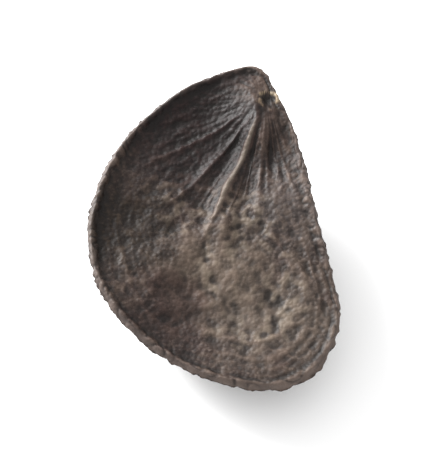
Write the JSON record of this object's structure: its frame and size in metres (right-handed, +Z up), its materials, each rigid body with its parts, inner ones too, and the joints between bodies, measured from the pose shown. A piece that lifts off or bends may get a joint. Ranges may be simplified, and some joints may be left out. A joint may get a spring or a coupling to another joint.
{
  "type": "onion seed",
  "caption": "Dried black onion seed, a flattened half egg with a pointed tip, a hollow face inside a raised rim and a round net-wrinkled back that rests on a small flat spot",
  "frame": {"origin": "on the resting surface, under the middle of the seed's outline box", "axes": "+Y along the seed's length towards its pointed end, +X towards its straight side, +Z up out of the hollow face"},
  "size_m": [0.0026, 0.0038, 0.0011],
  "materials": {
    "seed_coat": "dull black-brown dried seed coat with a faint wax sheen, wrinkled and finely netted"
  },
  "bodies": {
    "root": {"onion_seed": "seed_coat"}
  },
  "joints": []
}
